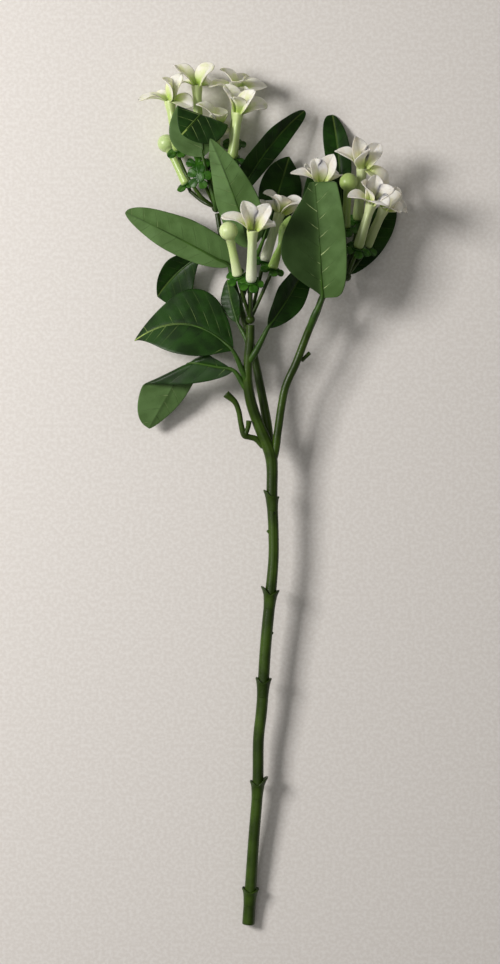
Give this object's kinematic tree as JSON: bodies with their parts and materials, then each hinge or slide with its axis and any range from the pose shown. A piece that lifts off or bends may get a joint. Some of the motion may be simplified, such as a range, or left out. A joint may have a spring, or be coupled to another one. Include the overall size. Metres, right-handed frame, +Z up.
{
  "type": "stephanotis stem",
  "caption": "Artificial stephanotis spray lying flat: jointed green stem that forks into branches, clusters of white tubular flowers and pale buds in lobed calyces, broad oval leaves.",
  "frame": {"origin": "centre of the whole spray's footprint, in the plane of the surface that it lies on", "axes": "+Z up from the surface, +Y from the cut end of the stem to the flowers, +X to the right as seen from above"},
  "size_m": [0.1788, 0.546, 0.0751],
  "materials": {
    "stem_green": "satin moulded plastic",
    "leaf_green": "stiffened printed fabric",
    "petal_white": "waxy stiffened fabric",
    "bud_green": "soft waxy plastic",
    "calyx_green": "satin moulded plastic"
  },
  "bodies": {
    "root": {"bloom_centre_1": "petal_white", "bloom_centre_4": "petal_white", "bloom_left_1": "petal_white", "bloom_left_2": "petal_white", "bloom_left_3": "petal_white", "bloom_left_4": "petal_white", "bloom_left_5": "petal_white", "bloom_right_1": "petal_white", "bloom_right_3": "petal_white", "bloom_right_4": "petal_white", "bloom_right_5": "petal_white", "bud_centre_2": "bud_green", "bud_centre_3": "bud_green", "bud_left_6": "bud_green", "bud_right_2": "bud_green", "calyx_centre_1": "calyx_green", "calyx_centre_2": "calyx_green", "calyx_centre_3": "calyx_green", "calyx_centre_4": "calyx_green", "calyx_left_1": "calyx_green", "calyx_left_2": "calyx_green", "calyx_left_3": "calyx_green", "calyx_left_4": "calyx_green", "calyx_left_5": "calyx_green", "calyx_left_6": "calyx_green", "calyx_left_7": "calyx_green", "calyx_left_8": "calyx_green", "calyx_right_1": "calyx_green", "calyx_right_2": "calyx_green", "calyx_right_3": "calyx_green", "calyx_right_4": "calyx_green", "calyx_right_5": "calyx_green", "centre_flower_stalks": "stem_green", "leaf_behind_centre": "leaf_green", "leaf_centre_right": "leaf_green", "leaf_centre_small": "leaf_green", "leaf_centre_upright": "leaf_green", "leaf_left_broad": "leaf_green", "leaf_left_folded": "leaf_green", "leaf_left_long": "leaf_green", "leaf_left_lower": "leaf_green", "leaf_right_broad": "leaf_green", "leaf_right_hidden": "leaf_green", "leaf_right_under": "leaf_green", "leaf_top_folded": "leaf_green", "leaf_top_pointed": "leaf_green", "leaf_top_right": "leaf_green", "left_flower_stalks": "stem_green", "main_stem": "stem_green", "middle_branch": "stem_green", "right_branch": "stem_green", "right_flower_stalks": "stem_green"}
  },
  "joints": []
}
